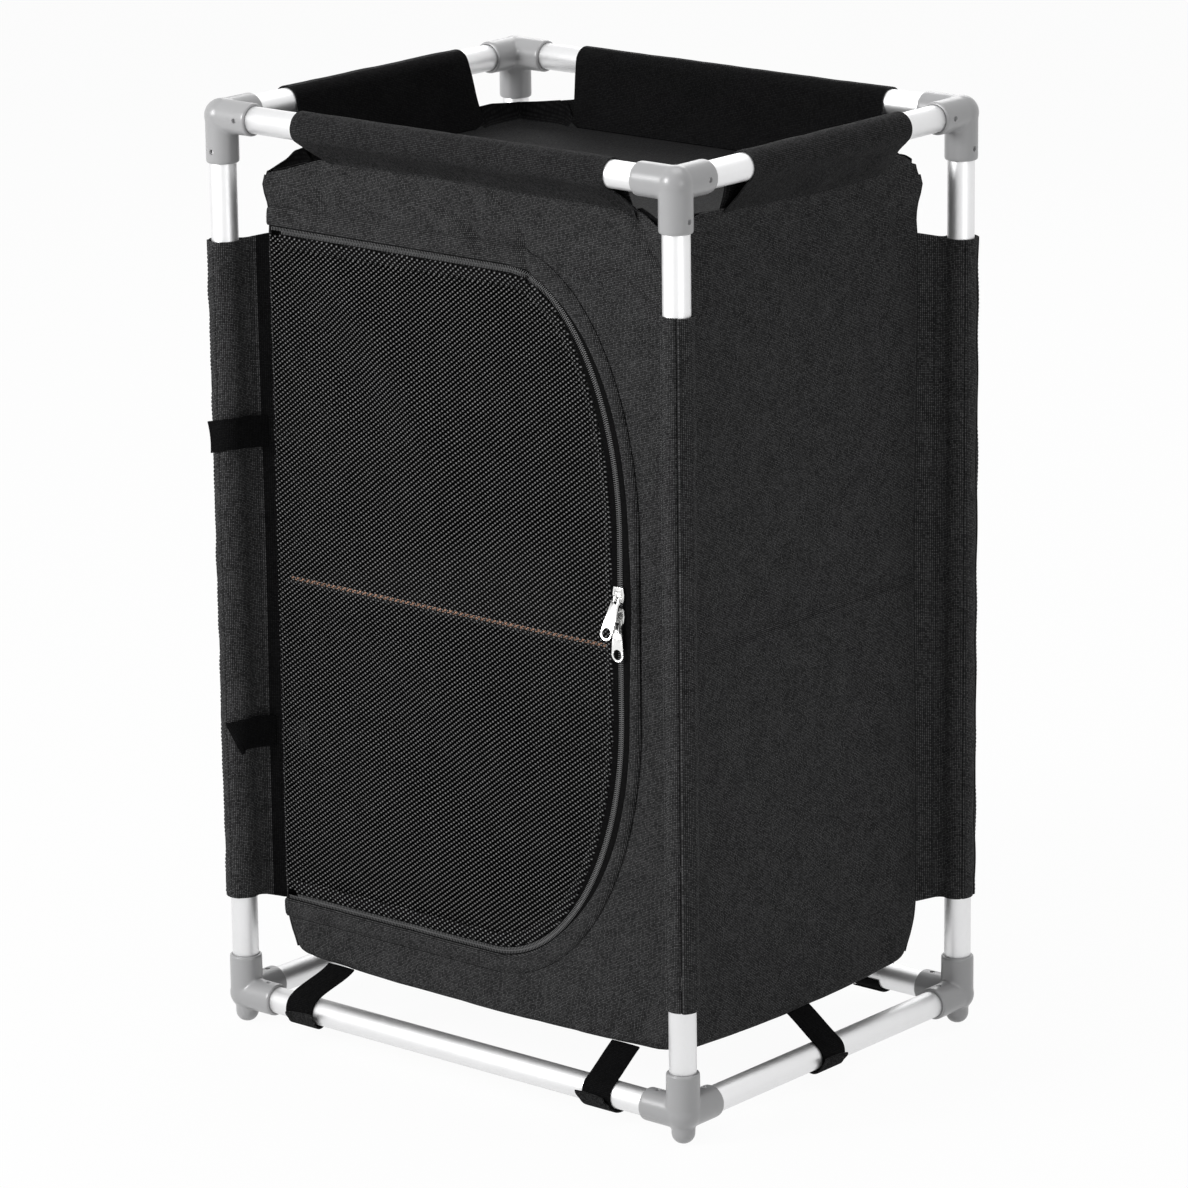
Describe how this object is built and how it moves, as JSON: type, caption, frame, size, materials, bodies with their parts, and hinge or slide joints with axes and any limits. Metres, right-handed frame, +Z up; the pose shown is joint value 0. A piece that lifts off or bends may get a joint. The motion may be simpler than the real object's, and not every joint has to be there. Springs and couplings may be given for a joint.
{
  "type": "camping cupboard",
  "caption": "Knock-down camping cupboard: plug-together tube frame carrying a fabric body with a table top, a shelf and a zipped mesh door.",
  "frame": {"origin": "on the ground, in the middle of the frame", "axes": "+X to the cupboard's right as seen from the front, +Y to the back, +Z up; the door is on the -Y side"},
  "size_m": [0.496, 0.3882, 0.779],
  "materials": {
    "aluminium": "satin anodised tube",
    "grey_plastic": "moulded, satin",
    "charcoal_fabric": "coated plain weave",
    "black_mesh": "open mesh",
    "black_webbing": "hook and loop webbing",
    "black_zip": "coil zip on woven tape",
    "nickel": "nickel plated",
    "fibreboard": "brown hardboard"
  },
  "bodies": {
    "cupboard": {"post_front_left": "aluminium", "post_front_right": "aluminium", "post_back_left": "aluminium", "post_back_right": "aluminium", "upper_rail_front": "aluminium", "upper_rail_back": "aluminium", "upper_rail_left": "aluminium", "upper_rail_right": "aluminium", "lower_rail_front": "aluminium", "lower_rail_back": "aluminium", "lower_rail_left": "aluminium", "lower_rail_right": "aluminium", "upper_corner_front_left": "grey_plastic", "upper_corner_front_right": "grey_plastic", "upper_corner_back_left": "grey_plastic", "upper_corner_back_right": "grey_plastic", "lower_corner_front_left": "grey_plastic", "lower_corner_front_right": "grey_plastic", "lower_corner_back_left": "grey_plastic", "lower_corner_back_right": "grey_plastic", "front_panel": "charcoal_fabric", "back_panel": "charcoal_fabric", "left_panel": "charcoal_fabric", "right_panel": "charcoal_fabric", "floor_panel": "charcoal_fabric", "top_panel": "charcoal_fabric", "top_board_pocket": "charcoal_fabric", "shelf_sling": "charcoal_fabric", "skirt_front": "charcoal_fabric", "skirt_back": "charcoal_fabric", "skirt_left": "charcoal_fabric", "skirt_right": "charcoal_fabric", "post_sleeve_front_left": "charcoal_fabric", "post_sleeve_front_right": "charcoal_fabric", "post_sleeve_back_left": "charcoal_fabric", "post_sleeve_back_right": "charcoal_fabric", "floor_board": "fibreboard", "shelf_board": "fibreboard", "top_board": "fibreboard", "zip_half_cover": "black_zip", "strap_front_left": "black_webbing", "strap_front_right": "black_webbing", "strap_back_left": "black_webbing", "strap_back_right": "black_webbing", "strap_left": "black_webbing", "strap_right": "black_webbing"},
    "door": {"door_mesh": "black_mesh", "zip_half_door": "black_zip"},
    "upper_slider": {"zip_slider_upper": "nickel"},
    "lower_slider": {"zip_slider_lower": "nickel"},
    "upper_pull": {"zip_pull_upper": "nickel"},
    "lower_pull": {"zip_pull_lower": "nickel"},
    "upper_tie": {"door_tie_upper": "black_webbing"},
    "lower_tie": {"door_tie_lower": "black_webbing"},
    "upper_inner_tie": {"inner_tie_upper": "black_webbing"},
    "lower_inner_tie": {"inner_tie_lower": "black_webbing"}
  },
  "joints": [
    {"name": "door_swing", "type": "hinge", "parent": "cupboard", "child": "door", "pos_m": [-0.2085, -0.156, 0.39], "axis": [0, 0, -1], "range_deg": [0, 105]},
    {"name": "upper_slider_travel", "type": "slide", "parent": "door", "child": "upper_slider", "axis": [0, 0, 1], "range_m": [0, 0.0375]},
    {"name": "lower_slider_travel", "type": "slide", "parent": "door", "child": "lower_slider", "axis": [0, 0, -1], "range_m": [0, 0.075]},
    {"name": "upper_pull_swing", "type": "hinge", "parent": "upper_slider", "child": "upper_pull", "pos_m": [0.157, -0.1615, 0.4267], "axis": [-0.9848, 0, 0.1736], "range_deg": [0, 145]},
    {"name": "lower_pull_swing", "type": "hinge", "parent": "lower_slider", "child": "lower_pull", "pos_m": [0.157, -0.1615, 0.4099], "axis": [-1, 0, 0], "range_deg": [0, 145]},
    {"name": "upper_tie_swing", "type": "hinge", "parent": "cupboard", "child": "upper_tie", "pos_m": [-0.2106, -0.15879, 0.505], "axis": [0, 0, -1], "range_deg": [-100, 0]},
    {"name": "lower_tie_swing", "type": "hinge", "parent": "cupboard", "child": "lower_tie", "pos_m": [-0.2106, -0.15879, 0.2515], "axis": [0, 0, -1], "range_deg": [-100, 0]},
    {"name": "upper_inner_tie_swing", "type": "hinge", "parent": "cupboard", "child": "upper_inner_tie", "pos_m": [-0.2069, -0.1541, 0.505], "axis": [0, 0, 1], "range_deg": [-53, 30]},
    {"name": "lower_inner_tie_swing", "type": "hinge", "parent": "cupboard", "child": "lower_inner_tie", "pos_m": [-0.2069, -0.1541, 0.2515], "axis": [0, 0, 1], "range_deg": [-5, 80]}
  ],
  "couplings": [
    {"joint": "upper_pull_swing", "follows": "lower_pull_swing", "ratio": 1}
  ]
}
